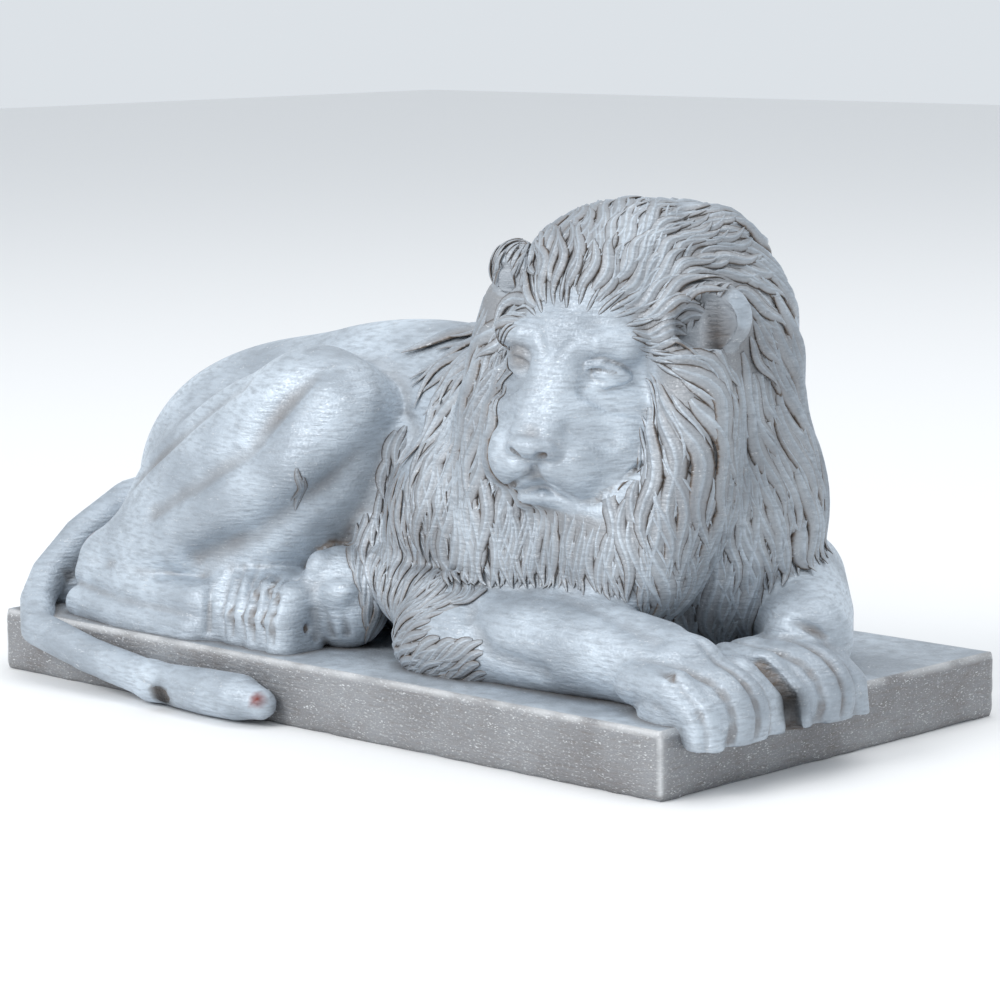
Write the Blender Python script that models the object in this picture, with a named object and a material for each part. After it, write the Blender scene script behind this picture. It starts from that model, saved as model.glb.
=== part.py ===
"""A lion lying on a slab, printed in one piece and painted silver. Metres, +Z up, +X towards the forepaws."""

import math

import bmesh
import bpy
import numpy as np
from mathutils import Matrix

# The slab
PLINTH_LENGTH = 0.150
PLINTH_WIDTH = 0.081
PLINTH_HEIGHT = 0.0105
PLINTH_EDGE = 0.0005

# The lion's length, from its rump to the tips of its forepaws
LION_LENGTH = 0.156
PAW_OVERHANG = 0.0065

# How finely the figure is worked before it is thinned to flat facets
MESH_STEP = 0.0008
FIGURE_TRIANGLES = 9000

# The figure is drawn in shares, a hundredth of the slab's length each as the photograph shows them.
# Its origin lies on the slab's top, 50 shares behind the front edge.
SHARE = LION_LENGTH / 104.0
FRONT = 50.0
ORIGIN = np.array([PLINTH_LENGTH / 2 - FRONT * SHARE, 0.0, PLINTH_HEIGHT])
SIDE = -PLINTH_WIDTH / 2 / SHARE
GROUND = -PLINTH_HEIGHT / SHARE
TOES = FRONT + PAW_OVERHANG / SHARE

SILVER = (0.60, 0.62, 0.64)

# The mane's locks, in shares
LOCK_GAP = 3.2
LOCK_LENGTH = 15.0
LOCK_HALF_WIDTH = 1.75
LOCK_HEIGHT = 1.7
LOCK_SWAY = 0.55
LOCK_WAVE = 9.0
LOCK_CLEARANCE = 0.6
SEED = 7

# The bare oval of the face
FACE_HALF_WIDTH = 8.3
FACE_HALF_HEIGHT = 10.5
FACE_OFFSET = 1.2
FACE_MIDDLE = -3.5

# A form is felt this many shares outside its box, and a point near none of them counts as far off
REACH = 7.0
FAR = 50.0


def turned(yaw=0.0, pitch=0.0, roll=0.0):
    """A turn about Z, with a lift of the +X end and a lean about X before it, in degrees."""
    turn = Matrix.Rotation(math.radians(yaw), 3, "Z")
    lift = Matrix.Rotation(math.radians(-pitch), 3, "Y")
    lean = Matrix.Rotation(math.radians(roll), 3, "X")
    return np.array(turn @ lift @ lean)


def egg(centre, radii, blend=2.0, cut=False, **turn):
    """A swelling of muscle, bone or hair: an ellipsoid that melts into what it joins."""
    return {
        "centre": np.array(centre, float),
        "radii": np.array(radii, float),
        "axes": turned(**turn),
        "blend": blend,
        "cut": cut,
    }


def limb(*stations, blend=2.0, cut=False):
    """A leg, tail or fold: a round bar through stations of x, y, z and radius."""
    return {"stations": np.array(stations, float), "blend": blend, "cut": cut}


def placed(form, turn, place):
    """The same form, carried into the figure from a frame of its own."""
    form = dict(form)
    if "stations" in form:
        stations = form["stations"].copy()
        stations[:, :3] = stations[:, :3] @ turn.T + place
        form["stations"] = stations
    else:
        form["centre"] = turn @ form["centre"] + place
        form["axes"] = turn @ form["axes"]
    return form


# Where the head looks: a point between the eyes, and a turn of the face to the lion's right
EYES = np.array([24.6, -12.6, 31.9])
HEAD_YAW = -67.0
HEAD_LEAN = -4.0
HEAD = turned(yaw=HEAD_YAW, roll=HEAD_LEAN)

# The face itself is turned a little further than the mass of the mane round it
FACE_YAW = -78.0
FACE = turned(yaw=FACE_YAW, roll=HEAD_LEAN)


def body_forms():
    """Rump, barrel, shoulders and the great muscles of the right hip."""
    return [
        egg((-32.5, 1.5, 13), (17.5, 17, 16), blend=4),
        egg((-8, 2, 17.5), (32, 13.5, 16), blend=5),
        egg((12, 1, 18), (20, 14.5, 17), blend=4),
        egg((15, -9, 13), (9, 7.5, 13), blend=3),
        egg((21, 11, 13), (11, 8.5, 13), blend=4),
        egg((-22.5, -11.5, 14), (22.5, 11, 12), blend=2.5, pitch=24),
        egg((-18, -13, 18), (14, 9, 10), blend=3, pitch=28),
        egg((-11, -13.5, 22.5), (8.5, 7.5, 9.3), blend=3),
        limb(
            (-5.5, -15.2, 25.3, 5.3), (-8.5, -16, 20, 5.2), (-14, -16.5, 13, 4.8), (-20, -17.5, 7, 4.5),
            blend=2.5),
        limb((-9, -17, 20, 5.2), (-25, -18.5, 11, 6.0), (-41, -17.5, 5, 4.4), blend=2.5),
        egg((-43, -7, 5), (5, 8, 7), blend=3),
        egg((-41.0, -12.0, 3.4), (3.8, 5.6, 5.0), blend=2),
        egg((-48.0, -4.0, 5.0), (3.2, 5.0, 5.5), blend=2),
        limb((0, -4, 15, 6), (-4, -9, 10, 5), (-7, -12, 6, 4), blend=2),
        egg((6, -11, 13.5), (7.5, 5.8, 9.5), blend=2),
        limb((-30, 3, 7, 12), (10, 2, 7, 11), (24, 2, 7, 10), blend=4),
        egg((-24, 9, 7), (19, 10, 10), blend=3),
        limb((-8, 14, 8, 6), (-22, 17, 5, 5), (-34, 14, 4, 4.5), blend=3),
    ]


def hind_feet_forms():
    """The right foot turns its toes outwards; the left one shows its sole under the belly."""
    forms = [
        limb((-40.5, -17.5, 4.4, 4.0), (-30, -18.5, 3.2, 3.6), (-18, -18, 3.8, 4.2), blend=1.5),
        limb((-41.5, -20.6, 4.2, 2.1), (-31, -22.6, 3.6, 2.4), (-20, -22.8, 3.6, 2.6), blend=0.6),
        limb((-41.0, -22.6, 1.2, 2.0), (-31, -24.0, 0.8, 2.2), (-20, -24.0, 0.8, 2.2), blend=0.6),
        egg((-11.5, -18.6, 3.4), (7.4, 4.6, 4.2), blend=1.2),
        limb((-21, -20.5, 0.6, 2.4), (-7, -20.5, 0.6, 2.4), blend=1),
        egg((-4.6, -16.4, 5.2), (5.4, 4.2, 5.6), blend=0.6),
        egg((-5.6, -19.2, 8.6), (1.5, 1.3, 2.0), blend=0.7, roll=-20),
        egg((-2.4, -19.4, 6.2), (2.4, 1.4, 1.5), blend=0.7, pitch=20),
    ]
    for toe in range(4):
        x = -17.6 + 3.6 * toe
        y = SIDE + 4.4 - 0.3 * toe
        forms.append(limb(
            (x + 0.8 - 0.5 * toe, y + 5.5, 5.0, 2.1), (x - 0.2, y + 1.8, 5.2, 2.1), (x, y + 0.2, 3.0, 2.1),
            (x + 0.3, y, 0.6, 1.9), blend=1.7))
    return forms


def fore_leg_forms():
    """The right forearm lies along the slab and the left one crosses in front of the chest."""
    reach = TOES - 1.7
    forms = [
        egg((14.5, -16.5, 2.6), (8.5, 6.2, 5.8), blend=2),
        limb(
            (11, -18, 3.4, 4.2), (26, -18.0, 4.0, 4.7), (37, -17.8, 4.2, 4.4), (45, -17.6, 3.4, 4.2),
            blend=1.5),
        limb((20, -15, 6.4, 2.4), (30, -15.4, 7.0, 2.2), (41, -16, 5.8, 2.0), blend=1.6),
        egg((42.0, -21.4, 2.6), (2.4, 1.9, 2.0), blend=1.2),
        egg((47.8, -17.9, 0.2), (6.8, 6.6, 5.2), blend=0.8),
        limb((30, 17, 6.5, 6.0), (39.5, 7.5, 5.4, 5.2), (45.5, 0.8, 4.6, 4.6), blend=1.5),
        egg((43.5, -5.6, 3.0), (2.2, 2.2, 2.4), blend=1.2),
        egg((47.8, -4.4, 0.2), (6.8, 6.2, 5.2), blend=0.8),
    ]
    for root, y, wide in (
            (-21.6, -22.8, 2.0), (-19.2, -19.3, 2.0), (-16.8, -16.0, 1.9), (-14.6, -13.2, 1.8),
            (-8.0, -9.3, 1.9), (-5.6, -6.1, 1.9), (-2.6, -2.9, 1.8), (0.2, 0.0, 1.8)):
        forms.append(limb(
            (42, root, 3.2, 1.8), (reach - 4.4, y, 3.2, wide), (reach - 1.2, y, 0.8, wide),
            (reach - 0.4, y, -3.6, wide - 0.2), blend=0.6))
    forms.append(egg((30, -9, 3.5), (5, 5, 4), blend=2))
    forms.append(egg((52, -11, -7.4), (9, 45, 5.6), blend=0.15, cut=True))
    return forms


def tail_forms():
    """The tail comes round the rump, drops over the slab's right edge and ends in a tuft on the ground."""
    drop = SIDE - 1.6
    return [
        egg((-46.2, -15.0, 5.5), (2.6, 5.5, 6.5), blend=0.8, cut=True),
        limb((-48.8, -11, 8, 1.8), (-48.9, -14.5, 4, 2.0), (-48.4, -18.5, 0.8, 2.2), blend=0.8),
        limb(
            (-44, -2, 12, 3.2), (-48.5, -9, 10.4, 2.6), (-50.0, -15, 7.0, 2.3), (-49.6, -20.5, 3.2, 2.1),
            (-47, SIDE + 2.6, 0.9, 2.0), (-42.5, drop + 0.6, -1.3, 2.0), (-33, drop + 0.2, -3.1, 2.0),
            (-22, drop, -4.5, 2.1), blend=1),
        limb(
            (-22, drop, -4.5, 2.1), (-13, drop - 0.3, GROUND + 2.6, 2.5),
            (-7.8, drop - 0.3, GROUND + 2.7, 2.5), (-4.6, drop - 0.2, GROUND + 2.4, 1.7), blend=1),
        egg((-18.6, drop - 1.9, -5.2), (1.7, 1.8, 0.9), blend=0.2, cut=True),
    ]


def mane_forms():
    """The mass of the mane on the neck, the chest and the crown."""
    return [
        egg((23, 2, 22), (15.5, 13, 23), blend=3),
        egg((31, 3, 16), (10.5, 12, 15), blend=3),
        egg((23.5, -3, 37), (11, 10.5, 11), blend=3),
        egg((26.5, 3, 33), (12, 11.5, 14.5), blend=3),
        egg((28, -10, 14), (9.5, 5.5, 10), blend=3),
        limb((14, -8, 37, 4), (13.5, -10.5, 26, 4.2), (16, -11.5, 16, 4.2), (20, -12, 11, 3.6), blend=2),
        limb((33, -4, 37, 4.5), (36, -5.5, 28, 4.6), (36, -7, 19, 4.8), (34, -10, 12, 4.2), blend=2),
        egg((21.5, -7.5, 43.5), (3.8, 4.0, 2.6), blend=1.2),
        egg((26.5, -2.5, 45.6), (4.0, 4.0, 2.4), blend=1.2),
        egg((30.5, 3.0, 44.6), (3.8, 4.0, 2.6), blend=1.2),
    ]


def fringe_forms():
    """The fringe of fur that hangs along the belly."""
    return [limb(
        (-1, -11, 21.5, 2.6), (-3.8, -12, 14, 2.4), (-1.5, -13.5, 9, 2.8), (6, -16, 6.4, 3.4),
        (12, -17, 6, 3.6), blend=1.2)]


def face_forms():
    """The face in its own frame: x out of the face, y to the lion's left and z up, from between the eyes."""
    forms = [
        egg((-6.5, 0, 2.0), (7.6, 9.0, 8.0), blend=2),
        egg((-5.0, 0, -4.0), (6.6, 8.8, 7.4), blend=2),
        egg((-0.8, 0, -8.2), (6.0, 6.2, 3.8), blend=2),
        egg((-3.6, 0, -10.6), (6.2, 6.6, 2.8), blend=1.4),
    ]
    for way in (1, -1):
        forms += [
            egg((0.8, 3.5 * way, -9.2), (4.8, 3.8, 3.9), blend=1.2),
            egg((2.8, 2.1 * way, -9.6), (3.3, 2.3, 2.0), blend=0.8),
            egg((-2.2, 6.0 * way, -8.8), (4.6, 3.2, 4.6), blend=1.4),
            egg((-1.8, 6.0 * way, -5.0), (3.2, 3.0, 3.2), blend=2.2),
            egg((0.6, 2.9 * way, -4.8), (3.2, 2.6, 3.6), blend=2.0),
            limb(
                (0.2, 1.1 * way, 3.8, 1.8), (2.0, 1.1 * way, -1.5, 1.9), (4.3, 1.2 * way, -6.3, 1.9),
                blend=1.6),
            limb(
                (0.9, 1.9 * way, 2.5, 1.0), (0.9, 4.4 * way, 3.0, 1.4), (-0.4, 6.6 * way, 2.9, 1.7),
                blend=1.4),
            egg((-0.75, 4.7 * way, -0.1), (2.1, 2.5, 1.5), blend=0.2),
            limb(
                (1.2, 2.5 * way, -0.5, 0.3), (1.5, 3.5 * way, 0.8, 0.42), (1.35, 4.9 * way, 1.15, 0.46),
                (0.3, 6.5 * way, 0.5, 0.4), (-0.6, 7.3 * way, -0.3, 0.3), blend=0.2),
            limb(
                (1.2, 2.5 * way, -0.6, 0.3), (1.25, 3.7 * way, -1.15, 0.36), (0.95, 5.2 * way, -1.15, 0.36),
                (-0.2, 6.9 * way, -0.4, 0.3), blend=0.25),
        ]
    forms += [
        egg((5.9, 0, -7.5), (1.6, 2.8, 1.25), blend=0.35),
        egg((4.9, 2.3, -8.0), (1.5, 1.1, 0.95), blend=0.35),
        egg((4.9, -2.3, -8.0), (1.5, 1.1, 0.95), blend=0.35),
        limb(
            (-2.4, -6.8, -13.6, 0.6), (0.4, -5.0, -14.0, 0.7), (2.3, -2.6, -13.5, 0.7),
            (3.0, 0, -13.0, 0.7), (2.3, 2.6, -13.5, 0.7), (0.4, 5.0, -14.0, 0.7),
            (-2.4, 6.8, -13.6, 0.6), blend=0.6),
        egg((0.2, 0, -13.6), (2.4, 3.8, 1.4), blend=0.8),
    ]
    for way in (1, -1):
        forms.append(egg((7.0, 1.5 * way, -8.2), (1.1, 0.85, 0.45), blend=0.2, cut=True, roll=25 * way))
    return [placed(form, FACE, EYES) for form in forms]


def ear_forms():
    """Each ear is a cupped round flap."""
    forms = [
        egg((-6.0, -8.2, 8.6), (2.3, 2.8, 3.0), blend=0.8, yaw=-15),
        egg((-4.2, -8.7, 7.9), (1.5, 1.1, 1.5), blend=0.5, cut=True, yaw=-15),
        egg((-3.2, 14.2, 6.2), (2.6, 4.0, 3.7), blend=0.8, yaw=15),
        egg((-0.6, 14.1, 5.8), (2.3, 3.4, 3.1), blend=0.4, cut=True, yaw=15),
    ]
    return [placed(form, HEAD, EYES) for form in forms]


def form_distance(points, form):
    """How far each point lies outside a form, in shares."""
    if "stations" in form:
        near = np.full(len(points), FAR)
        for start, end in zip(form["stations"][:-1], form["stations"][1:]):
            along = end[:3] - start[:3]
            part = np.clip((points - start[:3]) @ along / (along @ along), 0, 1)
            gap = np.linalg.norm(points - start[:3] - part[:, None] * along, axis=1)
            near = np.minimum(near, gap - start[3] - (end[3] - start[3]) * part)
        return near
    scaled = ((points - form["centre"]) @ form["axes"]) / form["radii"]
    size = np.linalg.norm(scaled, axis=1)
    slope = np.linalg.norm(scaled / form["radii"], axis=1) + 1e-9
    return size * (size - 1) / slope


def form_box(form):
    """The lowest and highest corners that a form reaches."""
    if "stations" in form:
        places = form["stations"][:, :3]
        thick = form["stations"][:, 3:]
        return (places - thick).min(axis=0), (places + thick).max(axis=0)
    reach = np.linalg.norm(form["axes"] * form["radii"], axis=1)
    return form["centre"] - reach, form["centre"] + reach


def melted(first, second, blend):
    """The union of two distances, rounded over the blend's width."""
    mix = np.clip(0.5 + 0.5 * (second - first) / blend, 0, 1)
    return second + (first - second) * mix - blend * mix * (1 - mix)


def distance(points, forms):
    """How far each point near the skin lies outside the whole figure, in shares."""
    total = np.full(len(points), FAR)
    for form in forms:
        low, high = form_box(form)
        near = np.flatnonzero(np.all((points > low - REACH) & (points < high + REACH), axis=1))
        own = form_distance(points[near], form)
        if form["cut"]:
            total[near] = -melted(-total[near], own, form["blend"])
        else:
            total[near] = melted(total[near], own, form["blend"])
    return total


def outward(points, forms, step=0.05):
    """The distance of each point, and the direction in which it grows."""
    here = distance(points, forms)
    ahead = [distance(points + step * axis, forms) - here for axis in np.eye(3)]
    slope = np.stack(ahead, axis=1) / step
    return here, slope / (np.linalg.norm(slope, axis=1, keepdims=True) + 1e-9)


def settled(points, forms, rounds=4):
    """The points moved on to the figure's surface."""
    for _ in range(rounds):
        here, way = outward(points, forms)
        points = points - way * np.clip(here, -1.5, 1.5)[:, None]
    return points


# The muscles show as soft grooves and ridges laid along the skin, and the toes are parted by finer ones.
HAUNCH_GROOVES = (
    ((-18, -17, 26), (-26, -18, 21), (-36, -17, 15)),
    ((-6, -17, 28), (-13, -21, 20.5), (-20, -22, 16.5), (-27, -22, 12.5)),
    ((-1, -18, 20), (-7, -21, 15), (-12.5, -21.5, 11.5), (-21, -23, 9)),
)
HAUNCH_RIDGES = (
    ((-1.5, -16, 26), (-6.1, -22, 20), (-17.3, -23.5, 13.8), (-32.5, -22.5, 5.6)),
)
FORE_LEG_GROOVES = (
    ((17, -19, 8.5), (19.5, -21.5, 6), (23, -22.5, 3.5), (30, -22.8, 2.2)),
    ((28, -16, 8.8), (36, -18.6, 8.4), (43, -19.6, 6.4)),
)
PAW_EDGE = ((45, -22.5, 5), (49, -23.6, 4), (52, -24.3, 2.5), (53.4, -24.4, 0.5), (53.6, -24.4, -1.5))
TOE_GAPS = ((-21.2, 0.5), (-17.7, 0.5), (-14.6, 0.5), (-11.3, 1.0), (-7.7, 0.5), (-4.5, 0.5), (-1.4, 0.5))
TOE_PROFILE = ((46, 6), (49.5, 5.6), (52, 4.8), (54, 3), (55, 1), (55.2, -1.5))
HIND_TOE_LINES = (-17.4, -15.7, -13.9, -12.1, -10.3, -8.6, -6.9)
SOLE_GROOVES = (
    ((-7.4, -20.4, 9.0), (-7.2, -20.8, 5.0), (-6.8, -20.6, 1.5)),
    ((-5.2, -20.6, 4.4), (-5.0, -20.6, 1.2)),
    ((-3.2, -20.4, 4.2), (-3.0, -20.4, 1.0)),
    ((-1.2, -19.8, 4.0), (-1.0, -19.8, 1.2)),
)


def laid(places, forms, radius, lift, blend, cut):
    """A bar whose stations follow the skin. A groove starts clear of it, so that it fades in."""
    along = settled(np.array(places, float), forms)
    _, ways = outward(along, forms)
    lifts = np.full((len(along), 1), lift)
    if cut:
        lifts[0] = radius
    stations = np.hstack([along + ways * lifts, np.full((len(along), 1), radius)])
    return {"stations": stations, "blend": blend, "cut": cut}


def muscle_forms(forms):
    """Grooves and ridges of the haunch and the fore leg, and the lines of the toes and the sole."""
    return [
        laid(places, forms, 1.2, 0.7, 2.2, True) for places in HAUNCH_GROOVES
    ] + [
        laid(places, forms, 1.8, -1.2, 2.0, False) for places in HAUNCH_RIDGES
    ] + [
        laid(places, forms, 0.5, 0.15, 0.5, True) for places in SOLE_GROOVES
    ] + [
        laid(places, forms, 0.8, 0.5, 1.4, True) for places in FORE_LEG_GROOVES
    ] + [
        laid([(x, y, z) for x, z in TOE_PROFILE], forms, wide, 0.1, 0.5, True) for y, wide in TOE_GAPS
    ] + [
        laid([(x - 1.6, -20.5, 8), (x, -24.5, 5), (x + 0.5, -25.5, 1.2)], forms, 0.35, 0.1, 0.5, True)
        for x in HIND_TOE_LINES
    ] + [
        laid(PAW_EDGE, forms, 0.45, 0.1, 0.5, True)
    ]


# Fine lines of the face, in its frame: mouth, middle of the lip, furrows beside the nose and on the brow
FACE_LINES = (
    (((6.6, 0, -8.8), (5.7, 0, -10.0), (5.2, 0, -11.2)), 0.3, 0.1, 0.3),
    (
        ((5.6, 0, -11.4), (4.8, 2.2, -12.1), (3.0, 4.4, -12.9), (0.8, 6.4, -13.2), (-1.2, 8.0, -12.8)),
        0.36, 0.05, 0.35),
    (((1.3, 2.7, 0.15), (1.5, 3.7, 0.35), (1.35, 4.9, 0.6), (0.6, 6.1, 0.15)), 0.16, 0.0, 0.15),
    (((1.8, 2.6, -1.6), (1.7, 3.2, -2.8), (0.7, 5.6, -3.6), (-1.2, 8.2, -4.0)), 0.55, 0.25, 0.8),
    (((4.4, 3.2, -5.4), (3.0, 4.6, -6.4), (0.6, 6.4, -6.6)), 0.5, 0.45, 1.2),
    (((2.3, 0.9, 1.4), (1.8, 1.7, 2.9)), 0.35, 0.25, 0.6),
)


def face_lines(forms):
    """The lines of the face, each on both sides."""
    lines = []
    for places, radius, lift, blend in FACE_LINES:
        for way in (1, -1):
            spots = np.array(places, float) * (1, way, 1)
            lines.append(laid(spots @ FACE.T + EYES, forms, radius, lift, blend, True))
    return lines


def figure_forms():
    """Every form of the lion, in the order in which they melt together."""
    forms = body_forms() + hind_feet_forms() + fore_leg_forms() + fringe_forms() + mane_forms()
    forms += face_forms() + ear_forms() + tail_forms()
    forms += muscle_forms(forms)
    return forms + face_lines(forms)


def add_ball(bm, centre, radii, axes, level):
    """One ellipsoid of the rough figure."""
    turn = Matrix([list(row) for row in axes]).to_4x4()
    stretch = Matrix.Diagonal((*radii, 1))
    bmesh.ops.create_icosphere(
        bm, subdivisions=level, radius=1, matrix=Matrix.Translation(list(centre)) @ turn @ stretch)


def rough_figure(forms, step):
    """A closed skin over all the forms, in shares, with vertices about one step apart."""
    bm = bmesh.new()
    for form in forms:
        if form["cut"]:
            continue
        if "centre" in form:
            add_ball(bm, form["centre"], form["radii"], form["axes"], 3)
            continue
        for start, end in zip(form["stations"][:-1], form["stations"][1:]):
            pieces = max(2, math.ceil(np.linalg.norm(end[:3] - start[:3]) / (0.6 * min(start[3], end[3]))))
            for part in np.linspace(0, 1, pieces):
                ball = start + (end - start) * part
                add_ball(bm, ball[:3], (ball[3],) * 3, np.eye(3), 2)
    mesh = bpy.data.meshes.new("rough_figure")
    bm.to_mesh(mesh)
    bm.free()
    rough = bpy.data.objects.new("rough_figure", mesh)
    bpy.context.scene.collection.objects.link(rough)
    skin = rough.modifiers.new("skin", "REMESH")
    skin.mode = "VOXEL"
    skin.voxel_size = step
    skinned = bpy.data.meshes.new_from_object(rough.evaluated_get(bpy.context.evaluated_depsgraph_get()))
    bpy.data.objects.remove(rough)
    return skinned


def vertices_of(mesh):
    """The mesh's vertices as an array."""
    flat = np.empty(len(mesh.vertices) * 3)
    mesh.vertices.foreach_get("co", flat)
    return flat.reshape(-1, 3)


def face_frame(points):
    """The points in the face's own frame."""
    return (points - EYES) @ HEAD


def on_mane(points):
    """Which points carry the mane: near its mass, off the face, the ears and the fore legs."""
    seen = face_frame(points)
    power = np.where(seen[:, 2] > -3, 2.4, 4)
    across = np.abs((seen[:, 1] - FACE_OFFSET) / FACE_HALF_WIDTH)
    upward = np.abs((seen[:, 2] - FACE_MIDDLE) / FACE_HALF_HEIGHT)
    face = across ** power + upward ** power
    near = distance(points, mane_forms()) < 2.2
    bare = (distance(points, fore_leg_forms()) < 0.6) | (distance(points, ear_forms()) < 0.5)
    return near & ((face > 1) | (seen[:, 0] < -7)) & ~bare & (points[:, 2] > 3)


def flow(points, normals):
    """The way the hair lies: out from the face and back over the crown, then down with its weight."""
    middle = EYES + HEAD @ np.array([-2.0, 0.0, -4.0])
    ahead = HEAD[:, 0]
    spread = points - middle
    spread = spread - np.outer(spread @ ahead, ahead)
    reach = np.linalg.norm(spread, axis=1, keepdims=True) + 1e-9
    share = np.clip(1.1 - (reach - 8) / 10, 0.05, 1)
    way = spread / reach * share - 0.35 * share * ahead + (1.25 - share) * np.array([0, 0, -1.0])
    return tangent(way, normals)


def tangent(ways, normals):
    """The directions laid flat on the surface."""
    flat = ways - np.sum(ways * normals, axis=1, keepdims=True) * normals
    return flat / (np.linalg.norm(flat, axis=1, keepdims=True) + 1e-9)


def spaced(points, gap):
    """Points picked so that no two lie nearer than the gap, in a fixed shuffled order."""
    order = np.random.default_rng(SEED).permutation(len(points))
    picked = np.empty((0, 3))
    for point in points[order]:
        if len(picked) == 0 or np.min(np.sum((picked - point) ** 2, axis=1)) > gap * gap:
            picked = np.vstack([picked, point])
    return picked


def combed(roots, forms, length, steps=12):
    """The middle line of each lock, waving as it follows the flow over the figure."""
    pace = length / steps
    here = roots.copy()
    lines = [here]
    phase = 0.22 * roots[:, 0] + 0.3 * roots[:, 1]
    for step in range(steps):
        _, normals = outward(here, forms)
        way = flow(here, normals)
        side = np.cross(normals, way)
        sway = LOCK_SWAY * np.cos(phase + 2 * math.pi * step * pace / LOCK_WAVE)
        way = tangent(way + side * sway[:, None], normals)
        here = settled(here + way * pace, forms, 1)
        lines.append(here)
    return np.stack(lines, axis=1)


def lock_relief(points, normals, lines, half_width, height):
    """How far the locks stand out at each point: thin at the root, full and pointed towards the tip."""
    relief = np.zeros(len(points))
    steps = lines.shape[1] - 1
    for line in lines:
        low = line.min(axis=0) - half_width
        high = line.max(axis=0) + half_width
        close = np.flatnonzero(np.all((points > low) & (points < high), axis=1))
        if len(close) == 0:
            continue
        away = points[close, None] - line[None, :-1]
        runs = np.diff(line, axis=0)
        part = np.clip(np.sum(away * runs, axis=2) / np.sum(runs * runs, axis=1), 0, 1)
        gap = np.linalg.norm(away - part[:, :, None] * runs, axis=2)
        nearest = gap.argmin(axis=1)
        rows = np.arange(len(close))
        along = (nearest + part[rows, nearest]) / steps
        width = half_width * np.clip(1.5 * (0.35 + along) * (1 - along ** 3) + 0.1, 0, 1)
        across = gap[rows, nearest] / width
        crown = np.clip(1 - across ** 2, 0, 1) ** 0.5
        rise = height * (0.2 + 0.8 * along) * np.clip(6 * (1 - along), 0, 1)
        relief[close] = np.maximum(relief[close], rise * crown)
    return relief


def smoothed(mesh, values, rounds):
    """The values averaged with their neighbours', so that no lock's edge is ragged."""
    ends = np.empty(len(mesh.edges) * 2, dtype=np.int64)
    mesh.edges.foreach_get("vertices", ends)
    first, second = ends.reshape(-1, 2).T
    count = np.bincount(first, minlength=len(values)) + np.bincount(second, minlength=len(values))
    for _ in range(rounds):
        total = np.zeros_like(values)
        np.add.at(total, first, values[second])
        np.add.at(total, second, values[first])
        values = 0.5 * values + 0.5 * (total.T / count).T
    return values


def painted(name, colour, roughness, metallic):
    """A paint for a piece."""
    paint = bpy.data.materials.new(name)
    paint.use_nodes = True
    shader = paint.node_tree.nodes["Principled BSDF"]
    shader.inputs["Base Color"].default_value = (*colour, 1)
    shader.inputs["Roughness"].default_value = roughness
    shader.inputs["Metallic"].default_value = metallic
    return paint


def make_figure():
    """The lion with its carved mane, thinned to flat facets where it is plain."""
    forms = figure_forms()
    mesh = rough_figure(forms, MESH_STEP / SHARE)
    points = settled(vertices_of(mesh), forms)
    points = settled(smoothed(mesh, points, 1), forms, 1)
    _, normals = outward(points, forms)
    normals = smoothed(mesh, normals, 2)
    roots = spaced(points[on_mane(points)], LOCK_GAP)
    lines = combed(roots, forms, LOCK_LENGTH)
    relief = lock_relief(points, normals, lines, LOCK_HALF_WIDTH, LOCK_HEIGHT)
    relief[distance(points, fore_leg_forms()) < LOCK_CLEARANCE] = 0
    points = points + normals * smoothed(mesh, relief, 1)[:, None]
    mesh.vertices.foreach_set("co", (points * SHARE + ORIGIN).ravel())
    mesh.update()
    mesh.shade_smooth()
    mesh.materials.append(painted("silver_paint", SILVER, 0.38, 0.75))
    lion = bpy.data.objects.new("lion_statue", mesh)
    bpy.context.scene.collection.objects.link(lion)
    thin = lion.modifiers.new("thin", "DECIMATE")
    thin.use_collapse_triangulate = True
    thin.ratio = FIGURE_TRIANGLES / (2 * len(mesh.polygons))
    return lion


def make_slab():
    """The slab that the lion is printed on, with its edges just broken."""
    bm = bmesh.new()
    size = Matrix.Diagonal((PLINTH_LENGTH, PLINTH_WIDTH, PLINTH_HEIGHT, 1))
    bmesh.ops.create_cube(bm, size=1, matrix=Matrix.Translation((0, 0, PLINTH_HEIGHT / 2)) @ size)
    bmesh.ops.bevel(bm, geom=bm.edges[:], offset=PLINTH_EDGE, segments=1, affect="EDGES")
    mesh = bpy.data.meshes.new("slab")
    bm.to_mesh(mesh)
    bm.free()
    slab = bpy.data.objects.new("slab", mesh)
    bpy.context.scene.collection.objects.link(slab)
    slab.hide_render = True
    slab.display_type = "WIRE"
    return slab


for old in list(bpy.data.objects):
    bpy.data.objects.remove(old)

statue = make_figure()
join = statue.modifiers.new("slab", "BOOLEAN")
join.operation = "UNION"
join.solver = "EXACT"
join.object = make_slab()
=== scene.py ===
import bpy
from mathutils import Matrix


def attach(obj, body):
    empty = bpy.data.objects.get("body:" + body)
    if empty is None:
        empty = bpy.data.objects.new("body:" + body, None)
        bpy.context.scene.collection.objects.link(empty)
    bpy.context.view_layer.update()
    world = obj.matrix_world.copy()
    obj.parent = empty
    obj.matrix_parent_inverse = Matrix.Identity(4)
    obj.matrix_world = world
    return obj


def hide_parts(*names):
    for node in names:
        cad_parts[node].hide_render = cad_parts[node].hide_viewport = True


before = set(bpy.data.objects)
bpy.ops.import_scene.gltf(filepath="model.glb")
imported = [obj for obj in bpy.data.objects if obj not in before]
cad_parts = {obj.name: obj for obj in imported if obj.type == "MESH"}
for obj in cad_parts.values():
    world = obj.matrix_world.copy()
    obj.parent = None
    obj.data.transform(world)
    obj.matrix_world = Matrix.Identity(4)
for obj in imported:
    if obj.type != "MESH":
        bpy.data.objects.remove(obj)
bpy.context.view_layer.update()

import math

import bmesh
import bpy
import numpy as np
from mathutils import Matrix, Quaternion, Vector, noise

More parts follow.
